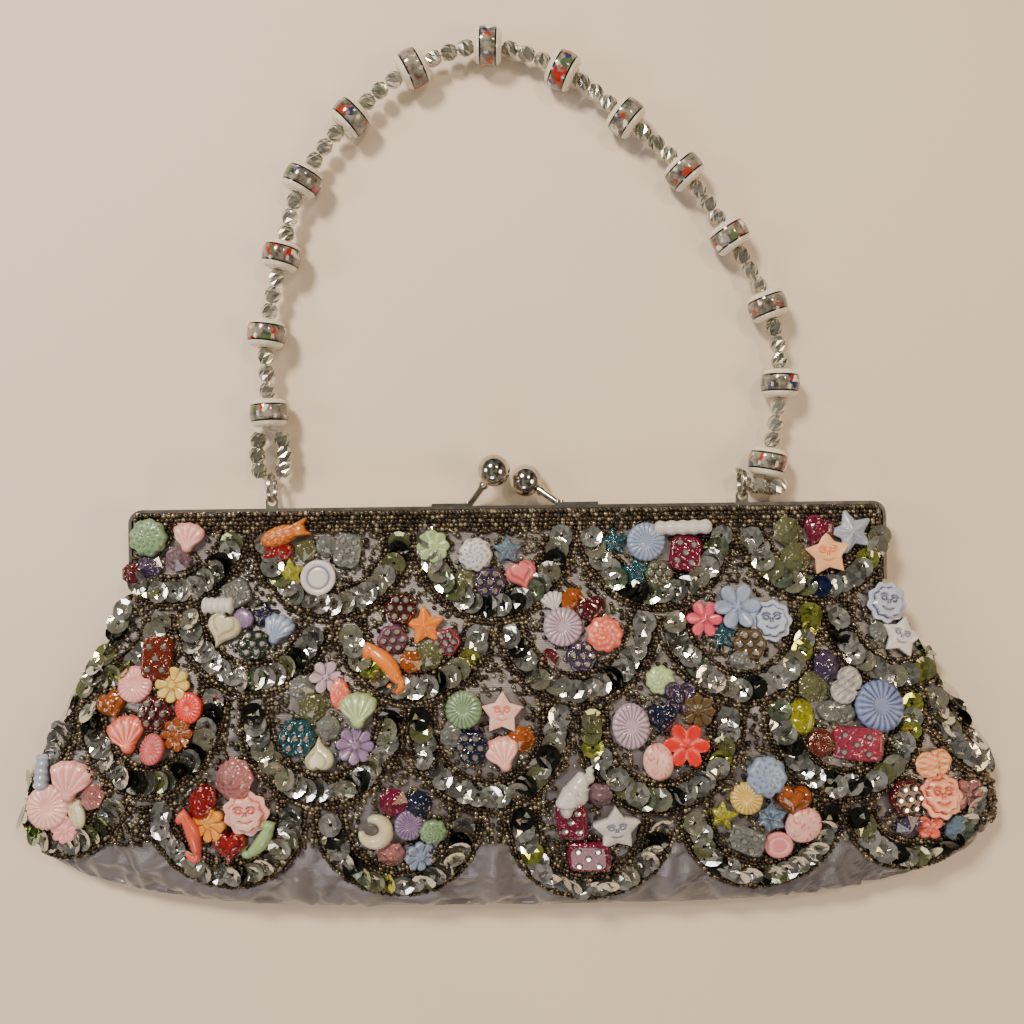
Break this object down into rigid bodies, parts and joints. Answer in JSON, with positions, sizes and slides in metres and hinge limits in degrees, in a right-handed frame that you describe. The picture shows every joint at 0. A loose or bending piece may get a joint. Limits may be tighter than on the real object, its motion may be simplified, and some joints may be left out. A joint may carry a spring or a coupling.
{
  "type": "evening bag",
  "caption": "Beaded clutch with a hinged kiss-lock frame, a padded pouch covered in scallops of sequins and small charms, and a carrying handle of large beads on a string.",
  "frame": {"origin": "on the back's resting face, under the middle of the pouch", "axes": "+X along the frame, +Y from the base to the handle, +Z out of the front; it lies on its back"},
  "size_m": [0.278, 0.2551, 0.0221],
  "materials": {
    "frame_metal": "polished",
    "clasp_metal": "polished",
    "ring_metal": "polished wire",
    "satin": "satin weave",
    "lining": "plain weave satin",
    "string": "twisted thread",
    "glass_bead": "glossy lampwork glass",
    "spacer_bead": "faceted, bright",
    "seed_bead": "dark metallic glass",
    "sequin": "pearly, faceted",
    "charm": "glossy moulded",
    "rhinestone": "faceted glass"
  },
  "bodies": {
    "pouch": {"back_frame": "frame_metal", "hinge_rivet_left": "frame_metal", "hinge_rivet_right": "frame_metal", "back_clasp_stem": "clasp_metal", "back_clasp_ball": "clasp_metal", "strap_lug_left": "ring_metal", "strap_lug_right": "ring_metal", "back_panel": "satin", "front_fold": "satin", "front_panel_lower": "satin", "base_gusset": "satin", "lining_pouch": "lining", "lining_back_flap": "lining"},
    "front": {"front_frame": "frame_metal", "front_clasp_stem": "clasp_metal", "front_clasp_ball": "clasp_metal", "front_panel_upper": "satin", "lining_front_flap": "lining"},
    "handle": {"split_ring_left": "ring_metal", "split_ring_right": "ring_metal", "handle_string": "string", "string_loop_left": "string", "string_loop_right": "string", "loop_beads_left": "spacer_bead", "loop_beads_right": "spacer_bead", "glass_bead_01": "glass_bead", "glass_bead_02": "glass_bead", "glass_bead_03": "glass_bead", "glass_bead_04": "glass_bead", "glass_bead_05": "glass_bead", "glass_bead_06": "glass_bead", "glass_bead_07": "glass_bead", "glass_bead_08": "glass_bead", "glass_bead_09": "glass_bead", "glass_bead_10": "glass_bead", "glass_bead_11": "glass_bead", "glass_bead_12": "glass_bead", "glass_bead_13": "glass_bead", "glass_bead_14": "glass_bead", "spacer_beads_01": "spacer_bead", "spacer_beads_02": "spacer_bead", "spacer_beads_03": "spacer_bead", "spacer_beads_04": "spacer_bead", "spacer_beads_05": "spacer_bead", "spacer_beads_06": "spacer_bead", "spacer_beads_07": "spacer_bead", "spacer_beads_08": "spacer_bead", "spacer_beads_09": "spacer_bead", "spacer_beads_10": "spacer_bead", "spacer_beads_11": "spacer_bead", "spacer_beads_12": "spacer_bead", "spacer_beads_13": "spacer_bead"}
  },
  "joints": [
    {"name": "frame_open", "type": "hinge", "parent": "pouch", "child": "front", "pos_m": [0, 0.03, 0.006], "axis": [1, 0, 0], "range_deg": [0, 90], "deforming": ["front_fold"]},
    {"name": "handle_swing", "type": "hinge", "parent": "pouch", "child": "handle", "pos_m": [0, 0.0629, 0.0058], "axis": [1, 0, 0], "range_deg": [0, 90]}
  ]
}
